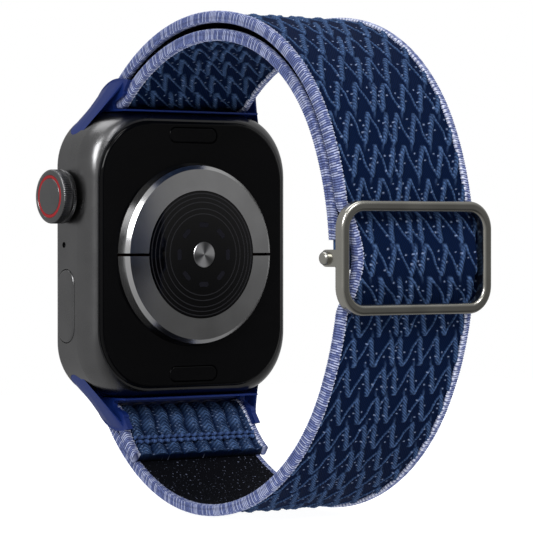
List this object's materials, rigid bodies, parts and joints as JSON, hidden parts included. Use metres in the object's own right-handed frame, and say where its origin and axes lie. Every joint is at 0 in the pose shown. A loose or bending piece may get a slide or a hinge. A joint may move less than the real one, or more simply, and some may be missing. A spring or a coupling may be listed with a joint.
{
  "type": "fitness tracker band",
  "caption": "Wrist activity tracker with a square case, turning crown and optical sensor, on a woven zigzag band that loops through two lug adapters and a sliding buckle.",
  "frame": {"origin": "on the wrist axis, at the middle of the case's height, 24 mm behind the back cover's outer face", "axes": "+X along the wrist axis, the crown being on the -X side; +Y out through the display; +Z from the lower lug to the upper lug"},
  "size_m": [0.0411, 0.0655, 0.0743],
  "materials": {
    "case_metal": "satin dark grey",
    "back_gloss": "polished black",
    "electrode": "dark polished metal",
    "sensor_window": "dark windows",
    "bright_metal": "radially brushed",
    "copper": "enamelled copper wire",
    "circuit_board": "solder mask",
    "foil": "laminated pouch",
    "steel_part": "plain",
    "dark_plastic": "matt black",
    "display_glass": "polished black",
    "seal": "soft",
    "crown_metal": "satin dark grey",
    "red_ring": "satin red",
    "lug_plastic": "smooth deep blue",
    "webbing": "woven navy zigzag",
    "binding": "ribbed pale blue edge",
    "buckle_metal": "satin gunmetal"
  },
  "bodies": {
    "watch": {"back_cover": "back_gloss", "battery": "foil", "board_screws": "steel_part", "case_body": "case_metal", "charging_coil": "copper", "crown_bushing": "steel_part", "display_gasket": "seal", "display_glass": "display_glass", "display_module": "dark_plastic", "electrode_lower": "electrode", "electrode_upper": "electrode", "haptic_motor": "steel_part", "logic_board": "circuit_board", "loudspeaker": "dark_plastic", "microphone_mesh": "dark_plastic", "release_spring_bottom": "steel_part", "release_spring_top": "steel_part", "sensor_board": "circuit_board", "sensor_centre": "bright_metal", "sensor_crystal": "back_gloss", "sensor_windows": "sensor_window", "side_button_switch": "dark_plastic"},
    "band": {"lug_adapter_top": "lug_plastic", "lug_adapter_bottom": "lug_plastic", "lug_bar_top": "steel_part", "lug_bar_bottom": "steel_part", "outer_webbing": "webbing", "lower_webbing": "webbing", "inner_webbing": "webbing", "outer_binding": "binding", "lower_binding": "binding", "inner_binding": "binding", "top_wrap": "webbing", "bottom_wrap": "webbing", "sewn_flap": "webbing", "inner_tail": "webbing", "front_upper": "webbing", "front_lower": "webbing", "lock_spring_top": "steel_part", "lock_spring_bottom": "steel_part"},
    "crown_slide": {"crown_plunger": "steel_part"},
    "crown": {"crown_knob": "crown_metal", "crown_ring": "red_ring", "crown_cap": "crown_metal", "crown_stem": "steel_part"},
    "side_button": {"side_button": "case_metal"},
    "release_top": {"release_button_top": "back_gloss"},
    "release_bottom": {"release_button_bottom": "back_gloss"},
    "lock_top": {"lock_pin_top": "steel_part"},
    "lock_bottom": {"lock_pin_bottom": "steel_part"},
    "buckle": {"buckle_frame": "buckle_metal", "centre_bar": "buckle_metal", "end_loop": "webbing"}
  },
  "joints": [
    {"name": "band_slide", "type": "slide", "parent": "watch", "child": "band", "axis": [1, 0, 0], "range_m": [-0.04, 0.04]},
    {"name": "buckle_slide", "type": "hinge", "parent": "band", "child": "buckle", "pos_m": [0, 0.0152, -0.0002], "axis": [1, 0, 0], "range_deg": [-12, 12], "deforming": ["inner_tail", "front_upper", "front_lower"]},
    {"name": "crown_press", "type": "slide", "parent": "watch", "child": "crown_slide", "axis": [1, 0, 0], "range_m": [0, 0.0004], "stiffness_N_per_m": 1500},
    {"name": "crown_turn", "type": "hinge", "parent": "crown_slide", "child": "crown", "pos_m": [-0.022, 0.031, 0.0089], "axis": [1, 0, 0], "continuous": true},
    {"name": "side_button_press", "type": "slide", "parent": "watch", "child": "side_button", "axis": [1, 0, 0], "range_m": [0, 0.00025], "stiffness_N_per_m": 1500},
    {"name": "release_top_press", "type": "slide", "parent": "watch", "child": "release_top", "axis": [0, 1, 0], "range_m": [0, 0.0007], "stiffness_N_per_m": 1000, "deforming": ["release_spring_top"]},
    {"name": "release_bottom_press", "type": "slide", "parent": "watch", "child": "release_bottom", "axis": [0, 1, 0], "range_m": [0, 0.0007], "stiffness_N_per_m": 1000, "deforming": ["release_spring_bottom"]},
    {"name": "lock_top_slide", "type": "slide", "parent": "band", "child": "lock_top", "axis": [0, -1, 0], "range_m": [0, 0.0009], "deforming": ["lock_spring_top"]},
    {"name": "lock_bottom_slide", "type": "slide", "parent": "band", "child": "lock_bottom", "axis": [0, -1, 0], "range_m": [0, 0.0009], "deforming": ["lock_spring_bottom"]}
  ]
}
